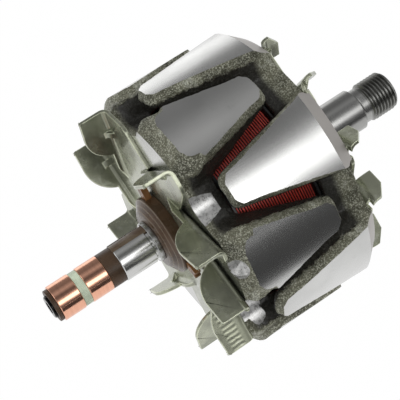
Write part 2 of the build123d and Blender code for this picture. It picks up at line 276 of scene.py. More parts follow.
class Graph:
    """Node tree of a material or world, built from Python expressions."""

    def __init__(self, owner, coordinates="Object", shader="Principled BSDF"):
        owner.use_nodes = True
        self.owner = owner
        self.tree = owner.node_tree
        self.shader = self.tree.nodes[shader]
        self.place = self.add("TexCoord", {}, {}, coordinates)

    @classmethod
    def finish_of(cls, name):
        """Graph of a new material."""
        return cls(bpy.data.materials.new(name))

    def add(self, kind, settings, sockets, output=0):
        """Any node: its type, then its settings, then the values or links of its sockets."""
        node = self.tree.nodes.new("ShaderNode" + kind)
        for key, value in settings.items():
            if key == "stops":
                self._stops(node.color_ramp, value)
            else:
                setattr(node, key, value)
        for key, value in sockets.items():
            self.feed(node.inputs[key], value)
        return Wire(self, node.outputs[output])

    def _stops(self, ramp, stops):
        while len(ramp.elements) < len(stops):
            ramp.elements.new(1.0)
        for element, (position, colour) in zip(ramp.elements, stops):
            element.position = position
            element.color = (*colour, 1.0)

    def feed(self, socket, value):
        """Link a wire to a socket, or set the socket's own value."""
        if isinstance(value, Wire):
            self.tree.links.new(value.socket, socket)
        elif socket.type == "RGBA":
            socket.default_value = (*value, 1.0)
        else:
            socket.default_value = value

    def mix(self, factor, first, second):
        """Colour between two colours."""
        return self.add("Mix", {"data_type": "RGBA"}, {0: factor, 6: first, 7: second}, 2)

    def stretch(self, scale):
        """Object coordinates, scaled by a factor for each axis."""
        return self.add("Mapping", {"vector_type": "POINT"}, {"Vector": self.place, "Scale": scale})

    def noise(self, scale, detail=3.0, rough=0.55, at=None):
        sockets = {"Vector": at or self.place, "Scale": scale, "Detail": detail, "Roughness": rough}
        return self.add("TexNoise", {}, sockets)

    def cells(self, scale):
        return self.add("TexVoronoi", {}, {"Vector": self.place, "Scale": scale})

    def across(self, axis):
        """One coordinate of the place on the surface."""
        return self.add("SeparateXYZ", {}, {0: self.place}, axis)

    def round_shaft(self, first, second):
        """Angle round the shaft from first towards second, as 0 to 1 with 0.5 at first."""
        flat = self.add("CombineXYZ", {}, {"X": first, "Y": second})
        return self.add("TexGradient", {"gradient_type": "RADIAL"}, {"Vector": flat}, "Fac")

    def radius(self):
        """Distance from the shaft axis, in metres."""
        flat = self.add("VectorMath", {"operation": "MULTIPLY"}, {0: self.place, 1: (0.0, 1.0, 1.0)})
        return self.add("VectorMath", {"operation": "LENGTH"}, {0: flat}, "Value")

    def ray(self, kind):
        """1 for rays of one kind, such as Camera."""
        return self.add("LightPath", {}, {}, f"Is {kind} Ray")

    def relief(self, height, depth, strength):
        """Fine relief on the surface, depth in metres."""
        bump = self.add("Bump", {}, {"Height": height, "Distance": depth, "Strength": strength})
        self.feed(self.shader.inputs["Normal"], bump)

    def finish(self, constants, **varying):
        """Set the shader's constant sockets, then feed those that vary over the surface."""
        for key, value in constants.items():
            self.feed(self.shader.inputs[key], value)
        for key, value in varying.items():
            self.feed(self.shader.inputs[key.replace("_", " ")], value)
        return self.owner


def toned(colour, share):
    """A colour made darker or lighter."""
    return tuple(min(1.0, channel * share) for channel in colour)


def ground_steel(name, colour, smoothest, roughest, is_shaft=False):
    """Ground or turned steel with fine lines round it. The shaft's is duller at its drive end."""
    g = Graph.finish_of(name)
    lines = g.noise(1.0, detail=4.0, rough=0.7, at=g.stretch((5200.0, 14.0, 14.0)))
    haze = g.noise(38.0)
    stains = g.noise(300.0, detail=4.0, rough=0.6)
    stained = haze.step(0.3, 0.75) * 0.6 + stains.step(0.62, 0.75) * 0.25
    tone = g.mix(stained, colour, toned(colour, 0.78))
    rough = smoothest + (roughest - smoothest) * (lines * 0.25 + haze * 0.75)
    if is_shaft:
        place = g.across("X")
        dull = place.past(SEAT_DULLS) * 0.6 + place.past(THREAD_DULLS) * 0.4
        tone = g.mix(dull, tone, DULL_STEEL)
        tone = g.mix(place.before(NOSE_DARKENS), tone, DARK_RECESS)
        rough = rough + dull * 0.08
    g.relief(lines, 0.00001, 0.05)
    return g.finish({"Metallic": 1.0, "Anisotropic": 0.25}, Base_Color=tone, Roughness=rough)


def forged_steel(name, colour):
    """Olive-grey forged scale, grainy with pale flecks that are partly painted glints, and black between
    the claws, partly varnished resin and partly painted shade.
    """
    g = Graph.finish_of(name)
    grain = g.noise(1700.0, detail=4.0, rough=0.7)
    lumps = g.noise(420.0, detail=4.0, rough=0.6)
    pits = g.cells(1300.0)
    patches = g.noise(80.0, detail=3.0, rough=0.6)
    # Pale flecks: partly real bright scale, partly painted glints
    specks_and_glints = (grain * 0.85 + lumps * 0.15).step(0.49, 0.59)
    worn = patches.step(0.52, 0.68)
    shade = g.mix(patches.step(0.3, 0.6), toned(colour, 0.35), toned(colour, 0.85))
    scale = g.mix(specks_and_glints * (0.6 + worn * 0.35), shade, PALE_SPECKS_AND_GLINTS)
    rubbed = patches.step(0.54, 0.64) * lumps.step(0.42, 0.56)
    scale = g.mix(rubbed * 0.4, scale, RUBBED_SCALE)
    place = g.across("X")
    # Painted shade: the claws' side walls, tips and valleys go black, partly as real varnished resin and
    # partly as the shade that falls there
    ragged = g.radius() + (lumps - 0.5) * 0.004
    varnish_and_shade = place.past(SHADE_AND_VARNISH_STARTS) * place.before(SHADE_AND_VARNISH_ENDS) * ragged.before(SHADE_AND_VARNISH_TOP)
    tone = g.mix(varnish_and_shade * 0.94, scale, BLACK_VARNISH_AND_SHADE)
    height = grain * 0.5 + lumps * 0.5 + pits.step(0.0, 0.4) * 0.3
    g.relief(height * (1.0 - varnish_and_shade * 0.6), 0.0008, 1.0)
    rough = specks_and_glints.step(0.0, 1.0, 0.52, 0.32) * (1.0 - varnish_and_shade) + varnish_and_shade * 0.22
    metallic = specks_and_glints.step(0.0, 1.0, 0.3, 0.6) * (1.0 - varnish_and_shade)
    return g.finish({"Specular IOR Level": 0.45}, Base_Color=tone, Roughness=rough, Metallic=metallic)


def milled_steel(name):
    """Bare milled or drilled steel, rough and bright."""
    g = Graph.finish_of(name)
    chips = g.noise(700.0, detail=4.0, rough=0.65)
    tone = g.mix(chips.step(0.35, 0.65), MILLED_LOW, MILLED_HIGH)
    g.relief(chips, 0.00008, 0.4)
    return g.finish({"Metallic": 0.65}, Base_Color=tone, Roughness=chips.step(0.3, 0.7, 0.24, 0.4))


def plated_sheet(name, colour):
    """Zinc-plated sheet with an olive passivated tint, wrinkled where the lower rear blades are bent."""
    g = Graph.finish_of(name)
    haze = g.noise(60.0, detail=4.0, rough=0.6)
    stains = g.noise(260.0, detail=3.0, rough=0.6)
    fine = g.noise(1400.0, detail=3.0, rough=0.6)
    tone = g.mix(haze.step(0.35, 0.7), toned(colour, 0.55), colour)
    tone = g.mix(stains.step(0.56, 0.72) * 0.3, tone, PALE_STAINS)
    place = g.across("X")
    bend = place.past(WRINKLES_START) * place.before(WRINKLES_END)
    bend = bend * g.across("Y").before(WRINKLES_ASIDE) * g.across("Z").before(WRINKLES_BELOW)
    ribs = ((g.radius() + stains * 0.0007) * 4200.0).through("SINE")
    g.relief(fine * 0.1 + stains * 0.5 + bend * ribs * 0.35, 0.00012, 0.6)
    constants = {"Metallic": 0.78, "Coat Weight": 0.3, "Coat Roughness": 0.08}
    return g.finish(constants, Base_Color=tone, Roughness=haze.step(0.2, 0.8, 0.18, 0.34))


def turned_copper(name, colour):
    """Turned copper with fine brush lines round the ring."""
    g = Graph.finish_of(name)
    lines = g.noise(1.0, detail=5.0, rough=0.75, at=g.stretch((4200.0, 20.0, 20.0)))
    tracks = g.noise(1.0, detail=2.0, rough=0.5, at=g.stretch((900.0, 2.0, 2.0)))
    tone = g.mix(tracks.step(0.35, 0.7) * 0.35 + lines * 0.15, colour, toned(colour, 0.72))
    g.relief(lines, 0.00001, 0.06)
    rough = lines.step(0.2, 0.8, 0.12, 0.2)
    return g.finish({"Metallic": 1.0, "Anisotropic": 0.25}, Base_Color=tone, Roughness=rough)


def moulded(name, colour, smoothest, roughest, depth=0.00008, rings=0.0):
    """Moulded resin or plastic, slightly uneven, with paler raised rings round the shaft if asked."""
    g = Graph.finish_of(name)
    clouds = g.noise(160.0, detail=4.0, rough=0.6)
    fine = g.noise(900.0, detail=3.0, rough=0.6)
    tone = g.mix(clouds.step(0.3, 0.7), toned(colour, 0.7), toned(colour, 1.15))
    height = clouds * 0.6 + fine * 0.4
    if rings:
        wave = ((g.radius() + clouds * 0.0006) * 3600.0).through("SINE")
        crest = wave.step(0.55, 0.95) * rings
        tone = g.mix(crest, tone, RESIN_CRESTS)
        height = height + crest * 2.0
    g.relief(height, depth, 0.6)
    rough = clouds.step(0.25, 0.75, smoothest, roughest)
    return g.finish({"Specular IOR Level": 0.35}, Base_Color=tone, Roughness=rough)


def enamelled_wire(name, colour, pitch=None):
    """Enamelled, varnished wire. With a pitch, it is bright on each turn's crest, with painted shade in
    the gaps between the turns.
    """
    g = Graph.finish_of(name)
    drips = g.noise(95.0, detail=3.0, rough=0.6)
    tone = g.mix(drips.step(0.5, 0.75) * 0.6, colour, toned(colour, 0.3))
    if pitch is not None:
        turn = g.round_shaft(g.across("Z"), g.across("Y"))
        phase = (g.across("X") - COIL[0] * MM) / pitch + turn - 0.5
        crest = ((phase - 0.5) * (2.0 * math.pi)).through("COSINE")
        # Painted shade darkens the gaps between the turns
        tone = g.mix(crest.step(-0.5, 0.7), toned(colour, 0.12), tone)
    constants = {"Coat Weight": 0.4, "Coat Roughness": 0.12, "Metallic": 0.25}
    return g.finish(constants, Base_Color=tone, Roughness=drips.step(0.3, 0.7, 0.2, 0.4))


# Modelling

def only(piece):
    """Select one object and nothing else."""
    if bpy.context.object and bpy.context.object.mode != "OBJECT":
        bpy.ops.object.mode_set(mode="OBJECT")
    bpy.ops.object.select_all(action="DESELECT")
    bpy.context.view_layer.objects.active = piece
    piece.select_set(True)
    return piece


def named(name):
    """Name the object that was added last."""
    piece = bpy.context.object
    piece.name = name
    piece.data.name = name
    return piece


def settle(piece):
    """Put the object's place into its mesh."""
    only(piece)
    bpy.ops.object.transform_apply(location=True, rotation=True, scale=True)
    return piece


def open_mesh(piece):
    """Go into edit mode with the whole mesh selected."""
    only(piece)
    bpy.ops.object.mode_set(mode="EDIT")
    bpy.ops.mesh.select_all(action="SELECT")


def close_mesh(piece):
    """Leave edit mode."""
    bpy.ops.object.mode_set(mode="OBJECT")
    return piece


def modify(piece, kind, **settings):
    """Add one modifier and apply it."""
    only(piece)
    modifier = piece.modifiers.new(kind.title(), kind)
    for key, value in settings.items():
        setattr(modifier, key, value)
    bpy.ops.object.modifier_apply(modifier=modifier.name)
    return piece


def bevel(piece, width, angle=45.0, segments=3, material=-1):
    """Round the edges that are sharper than an angle. The rounding keeps its faces' finish by default."""
    return modify(piece, "BEVEL", width=width, segments=segments, limit_method="ANGLE",
                  angle_limit=math.radians(angle), material=material, use_clamp_overlap=False)


def smooth(piece, angle):
    """Shade smooth below an angle, led by the large faces."""
    only(piece)
    bpy.ops.object.shade_smooth_by_angle(angle=math.radians(angle))
    return modify(piece, "WEIGHTED_NORMAL", keep_sharp=True)


def outwards(piece):
    """Merge doubles and turn the faces outwards."""
    open_mesh(piece)
    bpy.ops.mesh.remove_doubles(threshold=MERGE)
    bpy.ops.mesh.normals_make_consistent(inside=False)
    return close_mesh(piece)


def cap(piece):
    """Close the two open ends of a wound piece."""
    open_mesh(piece)
    bpy.ops.mesh.region_to_loop()
    bpy.ops.mesh.edge_face_add()
    return close_mesh(piece)


def copy_of(node, name):
    """Merged copy of a CAD node's mesh, as a new piece."""
    bpy.ops.object.select_all(action="DESELECT")
    piece = bpy.data.objects.new(name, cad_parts[node].data.copy())
    piece.data.name = name
    bpy.context.scene.collection.objects.link(piece)
    open_mesh(piece)
    bpy.ops.mesh.remove_doubles(threshold=CAD_MERGE)
    close_mesh(piece)
    piece.data.materials.clear()
    return piece


def turned(name, stations, segments=128):
    """Lathe work: a disc extruded and resized from one (place, radius) station to the next, in mm."""
    place, radius = stations[0]
    bpy.ops.object.select_all(action="DESELECT")
    bpy.ops.mesh.primitive_circle_add(vertices=segments, radius=radius * MM, fill_type="NGON",
                                      location=(place * MM, 0.0, 0.0),
                                      rotation=(0.0, math.radians(90.0), 0.0))
    piece = settle(named(name))
    open_mesh(piece)
    for following, wider in stations[1:]:
        move = {"value": ((following - place) * MM, 0.0, 0.0)}
        bpy.ops.mesh.extrude_region_move(TRANSFORM_OT_translate=move)
        if wider != radius:
            share = wider / radius
            bpy.ops.transform.resize(value=(1.0, share, share), center_override=(following * MM, 0.0, 0.0))
        place, radius = following, wider
    return outwards(close_mesh(piece))


def cutter(name, radius, depth, centre, direction, point=0.0):
    """Round tool from centre along direction, with a conical point if asked, for a boolean cut."""
    length = depth + radius
    bpy.ops.object.select_all(action="DESELECT")
    bpy.ops.mesh.primitive_cylinder_add(vertices=64, radius=radius * MM, depth=length * MM,
                                        location=(0.0, 0.0, (depth - length / 2) * MM))
    tool = settle(named(name))
    if point:
        bpy.ops.object.mode_set(mode="EDIT")
        bpy.ops.mesh.select_mode(type="FACE")
        bpy.ops.mesh.select_all(action="DESELECT")
        bpy.ops.object.mode_set(mode="OBJECT")
        for face in tool.data.polygons:
            face.select = face.normal.z > 0.9
        bpy.ops.object.mode_set(mode="EDIT")
        bpy.ops.mesh.extrude_region_move(TRANSFORM_OT_translate={"value": (0.0, 0.0, point * MM)})
        tip = (0.0, 0.0, (depth + point) * MM)
        bpy.ops.transform.resize(value=(0.02, 0.02, 1.0), center_override=tip)
        bpy.ops.object.mode_set(mode="OBJECT")
    tool.rotation_mode = "QUATERNION"
    tool.rotation_quaternion = Vector(direction).to_track_quat("Z", "Y")
    tool.location = Vector(centre) * MM
    return settle(tool)


def boolean(piece, tool, operation):
    """Cut or cross a piece with a tool that is then thrown away. Cut faces take the tool's finish."""
    modify(piece, "BOOLEAN", object=tool, operation=operation, solver="EXACT", material_mode="TRANSFER")
    bpy.data.objects.remove(tool)
    return piece


def around(angle, radius, place):
    """Point in mm at an angle from a drive claw, in the frame that the rotor lies in."""
    turn = math.radians(angle + RESTING_TURN)
    return Vector((place, -radius * math.sin(turn), radius * math.cos(turn)))


def radial(piece, change):
    """Move each vertex along its radius: change(place, radius, angle) gives the new radius, in mm.

    The angle is in degrees from a drive claw, as in around.
    """
    for vertex in piece.data.vertices:
        place, y, z = vertex.co / MM
        radius = math.hypot(y, z)
        if radius > 0.01:
            angle = math.degrees(math.atan2(-y, z)) - RESTING_TURN
            share = change(place, radius, angle) / radius
            vertex.co.y *= share
            vertex.co.z *= share
    piece.data.update()


def clouds(name, size):
    """Texture of soft lumps, size in mm."""
    texture = bpy.data.textures.new(name, "CLOUDS")
    texture.noise_scale = size * MM
    texture.noise_depth = 2
    return texture


def dress(piece, material, slot, *nodes):
    """Give a finished piece its finish, its body and the CAD nodes that it stands for."""
    if material is not None:
        piece.data.materials.clear()
        piece.data.materials.append(material)
    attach(piece, "root")
    if nodes:
        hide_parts(*nodes)
    return piece


class RotorSizes(bpy.types.PropertyGroup):
    """Sizes of the pieces that the frame leaves to the looks."""

    pitch: FloatProperty(name="Thread pitch", description="Distance from one crest to the next",
                         default=1.5 * MM, min=0.5 * MM, max=3.0 * MM, precision=5, unit="LENGTH")
    thread_depth: FloatProperty(name="Thread depth", description="Height of the thread over its root",
                                default=0.92 * MM, precision=5, unit="LENGTH")
    gauge: FloatProperty(name="Wire gauge", description="Distance from one turn of the coil to the next",
                         default=1.0 * MM, min=0.4 * MM, max=2.0 * MM, precision=5, unit="LENGTH")
    grain: FloatProperty(name="Forging grain", description="Edge of one cell of the forged mesh",
                         default=0.6 * MM, min=0.5 * MM, max=2.0 * MM, precision=5, unit="LENGTH")
    forging_relief: FloatProperty(name="Forging relief", description="Depth of the lumps on the forgings",
                                  default=0.26 * MM, precision=5, unit="LENGTH")
    edge: FloatProperty(name="Edge round", description="Width of the rounding on the fans' sheared edges",
                        default=0.3 * MM, precision=5, unit="LENGTH")


class RotorFinishes(bpy.types.PropertyGroup):
    """Base colours of the finishes."""

    steel: FloatVectorProperty(name="Ground steel", description="Ground faces, shaft, collar and spacer",
                               default=(0.62, 0.62, 0.61), size=3, min=0.0, max=1.0, subtype="COLOR")
    forging: FloatVectorProperty(name="Forged steel", description="Scale on the forged surfaces",
                                 default=(0.19, 0.19, 0.13), size=3, min=0.0, max=1.0, subtype="COLOR")
    plating: FloatVectorProperty(name="Plated sheet", description="Fans",
                                 default=(0.47, 0.49, 0.37), size=3, min=0.0, max=1.0, subtype="COLOR")
    copper: FloatVectorProperty(name="Copper", description="Slip rings",
                                default=(0.86, 0.46, 0.32), size=3, min=0.0, max=1.0, subtype="COLOR")
    enamel: FloatVectorProperty(name="Wire enamel", description="Field coil",
                                default=(0.62, 0.07, 0.05), size=3, min=0.0, max=1.0, subtype="COLOR")
    bobbin: FloatVectorProperty(name="Bobbin", description="Moulded bobbin",
                                default=(0.012, 0.012, 0.012), size=3, min=0.0, max=1.0, subtype="COLOR")
    insulator: FloatVectorProperty(name="Insulator", description="Ring between the slip rings",
                                   default=(0.64, 0.73, 0.56), size=3, min=0.0, max=1.0, subtype="COLOR")
    moulding: FloatVectorProperty(name="Brown moulding", description="Carrier, lead disc and tongue",
                                  default=(0.075, 0.042, 0.022), size=3, min=0.0, max=1.0,
                                  subtype="COLOR")
    resin: FloatVectorProperty(name="Lead resin", description="Resin over the coil's soldered ends",
                               default=(0.22, 0.10, 0.035), size=3, min=0.0, max=1.0, subtype="COLOR")
    floor: FloatVectorProperty(name="Floor", description="Studio floor",
                               default=(0.86, 0.86, 0.86), size=3, min=0.0, max=1.0, subtype="COLOR")


class ROTOR_OT_shaft(bpy.types.Operator):
    """Turn the shaft and cut the thread on its drive end"""

    bl_idname = "rotor.shaft"
    bl_label = "Turn the shaft"
    bl_options = {"REGISTER", "UNDO"}

    def execute(self, context):
        sizes = context.scene.rotor_sizes
        steel = ground_steel("shaft_steel", context.scene.rotor_finishes.steel,
                             smoothest=0.14, roughest=0.3, is_shaft=True)
        root = THREAD_RADIUS - sizes.thread_depth / MM
        piece = turned("shaft_turned", self.stations(root))
        recess = cutter("recess", RECESS_RADIUS, RECESS_DEPTH, (NOSE_FACE, 0.0, 0.0), (1.0, 0.0, 0.0))
        boolean(piece, recess, "DIFFERENCE")
        boolean(piece, self.slot_tool(), "DIFFERENCE")
        smooth(piece, angle=28.0)
        dress(piece, steel, "ground_steel", "shaft")
        dress(self.thread(sizes, root), steel, "ground_steel")
        return {"FINISHED"}

    def stations(self, root):
        """Places and radii of the shaft from its nose to the centre hole in its drive end."""
        end = THREAD[1]
        return [
            (NOSE_FACE, RING_SEAT_RADIUS - NOSE_CHAMFER),
            (NOSE_FACE + NOSE_CHAMFER, RING_SEAT_RADIUS),
            (JOURNAL[0], RING_SEAT_RADIUS),
            (JOURNAL[0], JOURNAL_RADIUS - JOURNAL_CHAMFER),
            (JOURNAL[0] + JOURNAL_CHAMFER, JOURNAL_RADIUS),
            (JOURNAL[1] - JOURNAL_CHAMFER, JOURNAL_RADIUS),
            (JOURNAL[1], JOURNAL_RADIUS - JOURNAL_CHAMFER),
            (JOURNAL[1], GROOVE_RADIUS),
            (COLLAR_FACE, GROOVE_RADIUS),
            (COLLAR_FACE, COLLAR_SEAT_RADIUS),
            (REAR_FAN_FACE, COLLAR_SEAT_RADIUS),
            (REAR_FAN_FACE, POLE_SEAT_RADIUS),
            (DRIVE_FAN_FACE, POLE_SEAT_RADIUS),
            (DRIVE_FAN_FACE, SPACER_SEAT_RADIUS),
            (SEAT[0], SPACER_SEAT_RADIUS),
            (SEAT[0], SEAT_RADIUS),
            (SEAT[1] - SEAT_CHAMFER, SEAT_RADIUS),
            (SEAT[1], SEAT_RADIUS - SEAT_CHAMFER),
            *((SEAT[1] + along, radius) for along, radius in RELIEF_FILLET),
            (THREAD[0], RELIEF_RADIUS),
            (THREAD[0] + ROOT_START, root),
            (end - ROOT_END, root),
            (end, THREAD_RADIUS - THREAD_CHAMFER),
            *((end - depth, radius) for depth, radius in CENTRE_HOLE),
        ]

    def slot_tool(self):
        """Box for the tongue's slot in the rear journal."""
        bpy.ops.object.select_all(action="DESELECT")
        bpy.ops.mesh.primitive_cube_add(size=1.0)
        tool = named("slot")
        middle = (JOURNAL[0] + LEAD_DISC_FACE) / 2
        tool.scale = Vector((LEAD_DISC_FACE - JOURNAL[0], TONGUE_SLOT_WIDTH, SLOT_TOOL_HEIGHT)) * MM
        tool.rotation_euler = (math.radians(RESTING_TURN + TONGUE_ANGLE), 0.0, 0.0)
        tool.location = around(TONGUE_ANGLE, TONGUE_SLOT_FLOOR + SLOT_TOOL_HEIGHT / 2, middle) * MM
        return settle(tool)

    def thread(self, sizes, root):
        """One ridge wound along the shaft, cut back to the chamfer at each end."""
        pitch = sizes.pitch / MM
        start, end = THREAD[0] + RIDGE_START, THREAD[1]
        foot = root - RIDGE_SINK
        bpy.ops.object.select_all(action="DESELECT")
        bpy.ops.mesh.primitive_plane_add(size=1.0)
        piece = named("shaft_thread")
        corners = ((-RIDGE_FOOT, foot), (RIDGE_FOOT, foot),
                   (RIDGE_CREST, THREAD_RADIUS), (-RIDGE_CREST, THREAD_RADIUS))
        order = sorted(piece.data.vertices, key=lambda vertex: math.atan2(vertex.co.y, vertex.co.x))
        for vertex, (along, radius) in zip(order, corners):
            vertex.co = Vector((start + along * pitch, 0.0, radius)) * MM
        open_mesh(piece)
        bpy.ops.mesh.delete(type="ONLY_FACE")
        close_mesh(piece)
        turns = int((end - start) / pitch) + 1
        modify(piece, "SCREW", axis="X", screw_offset=sizes.pitch, iterations=turns, steps=72,
               render_steps=72, use_smooth_shade=False)
        cap(piece)
        first, last = RIDGE_ENDS
        for vertex in piece.data.vertices:
            vertex.co.x = min(max(vertex.co.x, first * MM), last * MM)

        def chamfered(place, radius, angle):
            near_end = THREAD_RADIUS - max(0.0, THREAD_CHAMFER - (end - place))
            near_start = RUN_IN_RADIUS + (place - start) * RUN_IN_SLOPE
            return min(radius, near_end, max(near_start, foot))

        radial(piece, chamfered)
        return smooth(outwards(piece), angle=25.0)


class ROTOR_OT_poles(bpy.types.Operator):
    """Forge the two pole halves, then turn and grind them"""

    bl_idname = "rotor.poles"
    bl_label = "Forge the pole halves"
    bl_options = {"REGISTER", "UNDO"}

    def execute(self, context):
        sizes = context.scene.rotor_sizes
        finishes = context.scene.rotor_finishes
        scale = forged_steel("forged_scale", finishes.forging)
        ground = ground_steel("ground_pole_face", finishes.steel, smoothest=0.2, roughest=0.3)
        cut = milled_steel("milled_cut")
        shoulder = ground_steel("turned_shoulder", TURNED_SHOULDER, smoothest=0.3, roughest=0.45)

        back = REAR_POLE_BACK
        rear = self.forging("rear_pole", back, 1.0, REAR_REACH, sizes, scale)
        stations = [(back, GROUND_RADIUS), (back + BLANK_LENGTH, GROUND_RADIUS)]
        self.machine(rear, turned("rear_blank", stations, segments=360), ground)
        boolean(rear, self.balancing_tools(back, cut), "DIFFERENCE")
        smooth(rear, angle=28.0)
        dress(rear, None, "forged_steel", "rear_pole")

        back = DRIVE_POLE_BACK
        drive = self.forging("drive_pole", back, -1.0, DRIVE_REACH, sizes, scale)
        stations = [(back - BLANK_LENGTH, GROUND_RADIUS), (back - SHOULDER_LENGTH, GROUND_RADIUS),
                    (back, SHOULDER_RADIUS)]
        self.machine(drive, turned("drive_blank", stations, segments=360), ground, shoulder)
        smooth(drive, angle=28.0)
        dress(drive, None, "forged_steel", "drive_pole")
        return {"FINISHED"}

    def shoulder(self, height):
        """Radius of the sloped shoulder at a height over a pole's back face."""
        return SHOULDER_RADIUS + height * (POLE_RADIUS - SHOULDER_RADIUS) / SHOULDER_LENGTH

    def forging(self, node, back, inward, reach, sizes, scale):
        """Rounded, lumpy forging, a little larger than the surfaces that are ground and turned."""
        piece = copy_of(node, node + "_forged")

        def with_spare(place, radius, angle):
            height = abs(place - back)
            on_cone = node == "drive_pole" and abs(radius - self.shoulder(height)) < ON_FACE
            if radius > POLE_RADIUS - ON_FACE or on_cone:
                return radius + (TIP_SPARE if height > reach - TIP_ZONE else FACE_SPARE)
            return radius

        radial(piece, with_spare)
        for vertex in piece.data.vertices:
            if abs(vertex.co.x / MM - back) < ON_BACK:
                vertex.co.x -= inward * FACE_SPARE * MM
        piece.data.update()
        modify(piece, "REMESH", mode="VOXEL", voxel_size=sizes.grain, adaptivity=0.0)
        if node == "rear_pole":
            self.round_corners(piece, back, reach)
            modify(piece, "REMESH", mode="VOXEL", voxel_size=sizes.grain, adaptivity=0.0)
        modify(piece, "SMOOTH", factor=0.5, iterations=1)
        for kind, size, share in FORGED_RELIEF:
            modify(piece, "DISPLACE", texture=clouds(f"{node}_forged_{kind}", size),
                   texture_coords="LOCAL", strength=sizes.forging_relief * share, mid_level=0.5)
        piece.data.materials.clear()
        piece.data.materials.append(scale)
        return piece

    def round_corners(self, piece, back, reach):
        """Slope the forging off outside a rounded corner at each end of a ground face's wide edge."""
        lowest = POLE_RADIUS - CORNER_DEPTH
        wide, narrow = CLAW_WIDTHS

        def rounded(place, radius, angle):
            height = place - back
            if radius < lowest or height > SHOULDER_LENGTH + CORNER:
                return radius
            aside = abs(angle % CLAW_PITCH - CLAW_PITCH / 2)
            half = (wide + (narrow - wide) * height / reach) / 2 - FACE_INSET
            inset = CORNER - (half - radius * math.sin(math.radians(aside)))
            along = CORNER - (height - SHOULDER_LENGTH)
            past = math.hypot(inset, along) - CORNER
            if min(inset, along, past) <= 0.0:
                return radius
            return min(radius, max(lowest, POLE_RADIUS - CORNER_SLOPE * past))

        radial(piece, rounded)

    def machine(self, piece, blank, *finishes):
        """Turn a forging down to its blank. The last finish goes on the blank's cone."""
        for finish in finishes:
            blank.data.materials.append(finish)
        least, most = CONE_NORMALS
        for face in blank.data.polygons:
            if least < abs(face.normal.x) < most:
                face.material_index = len(finishes) - 1
        boolean(piece, blank, "INTERSECT")

    def balancing_tools(self, back, finish):
        """Drills and mills for the rear shoulders and valleys, joined into one tool."""
        tools = []
        for angle in DRILL_ANGLES:
            centre = around(angle, self.shoulder(DRILL_RISE), back + DRILL_RISE)
            out = around(angle, SHOULDER_LENGTH, SHOULDER_RADIUS - POLE_RADIUS)
            tools.append(cutter("drill", DRILL_RADIUS, DRILL_DEPTH, centre, -out, DRILL_POINT))
        for angle, distance in CUTS:
            centre = around(angle, distance, back - CUT_START)
            tools.append(cutter("mill", CUT_RADIUS, CUT_LENGTH + CUT_START, centre, (1.0, 0.0, 0.0)))
        only(tools[0])
        for tool in tools[1:]:
            tool.select_set(True)
        bpy.ops.object.join()
        tools[0].data.materials.append(finish)
        return tools[0]


class ROTOR_OT_coil(bpy.types.Operator):
    """Wind the field coil on its bobbin"""

    bl_idname = "rotor.coil"
    bl_label = "Wind the field coil"
    bl_options = {"REGISTER", "UNDO"}

    def execute(self, context):
        finishes = context.scene.rotor_finishes
        gauge = context.scene.rotor_sizes.gauge
        wire = enamelled_wire("enamelled_wire", finishes.enamel, gauge)
        black = moulded("bobbin_moulding", finishes.bobbin, smoothest=0.16, roughest=0.4)
        dress(self.winding(gauge), wire, "copper_wire", "field_winding")
        shaded = enamelled_wire("wire_shade", toned(finishes.enamel, 0.1))
        dress(self.core(), shaded, "copper_wire")
        bobbin = copy_of("bobbin", "bobbin_moulded")
        bevel(bobbin, 0.18 * MM, angle=40.0, segments=2)
        smooth(bobbin, angle=40.0)
        dress(bobbin, black, "black_plastic", "bobbin")
        return {"FINISHED"}

    def winding(self, gauge):
        """Outer layer of the coil: one wire wound along it, which wavers a little."""
        pitch = gauge / MM
        turns = int((COIL[1] - COIL[0]) / pitch)
        start = ((COIL[0] + pitch / 2) * MM, 0.0, (COIL_EDGE - WIRE_SINK) * MM)
        bpy.ops.object.select_all(action="DESELECT")
        bpy.ops.mesh.primitive_circle_add(vertices=8, radius=pitch * WIRE_FILL * MM, fill_type="NOTHING",
                                          location=start, rotation=(math.radians(90.0), 0.0, 0.0))
        coil = settle(named("field_winding_turns"))
        modify(coil, "SCREW", axis="X", screw_offset=gauge, iterations=turns, steps=144,
               render_steps=144, use_smooth_shade=True)

        def crowned(place, radius, angle):
            edge = min(place - COIL[0], COIL[1] - place)
            return radius + COIL_CROWN * min(1.0, max(0.0, edge / COIL_RUN)) - CROWN_GAP

        radial(coil, crowned)
        for vertex in coil.data.vertices:
            turn = math.atan2(vertex.co.y, vertex.co.z)
            shifts = [math.sin(vertex.co.x * along + waves * turn) for along, waves in WAVER]
            vertex.co.x += WAVER_SHIFT * sum(shifts)
        return smooth(outwards(cap(coil)), angle=60.0)

    def core(self):
        """Body of the coil just under the outer layer, dark as painted shade between the turns."""
        edge = COIL_EDGE - CORE_SINK
        stations = [
            (COIL[0], COIL_BORE), (COIL[0], edge), (COIL[0] + COIL_RUN, edge + COIL_CROWN),
            (COIL[1] - COIL_RUN, edge + COIL_CROWN), (COIL[1], edge), (COIL[1], COIL_BORE),
        ]
        core = turned("field_winding_core", stations, segments=96)
        return smooth(core, angle=30.0)


class ROTOR_OT_fans(bpy.types.Operator):
    """Stamp the two fans out of plated sheet"""

    bl_idname = "rotor.fans"
    bl_label = "Stamp the fans"
    bl_options = {"REGISTER", "UNDO"}

    def execute(self, context):
        colour = context.scene.rotor_finishes.plating
        plated = plated_sheet("plated_sheet", colour)
        # The rounded sheared edges are painted lighter as a highlight along each edge
        sheared = plated_sheet("painted_edge_highlight", toned(colour, 1.7))
        for node in ("rear_fan", "drive_fan"):
            fan = copy_of(node, node + "_stamped")
            fan.data.materials.append(plated)
            fan.data.materials.append(sheared)
            bevel(fan, context.scene.rotor_sizes.edge, material=1)
            smooth(fan, angle=40.0)
            dress(fan, None, "plated_sheet", node)
        return {"FINISHED"}


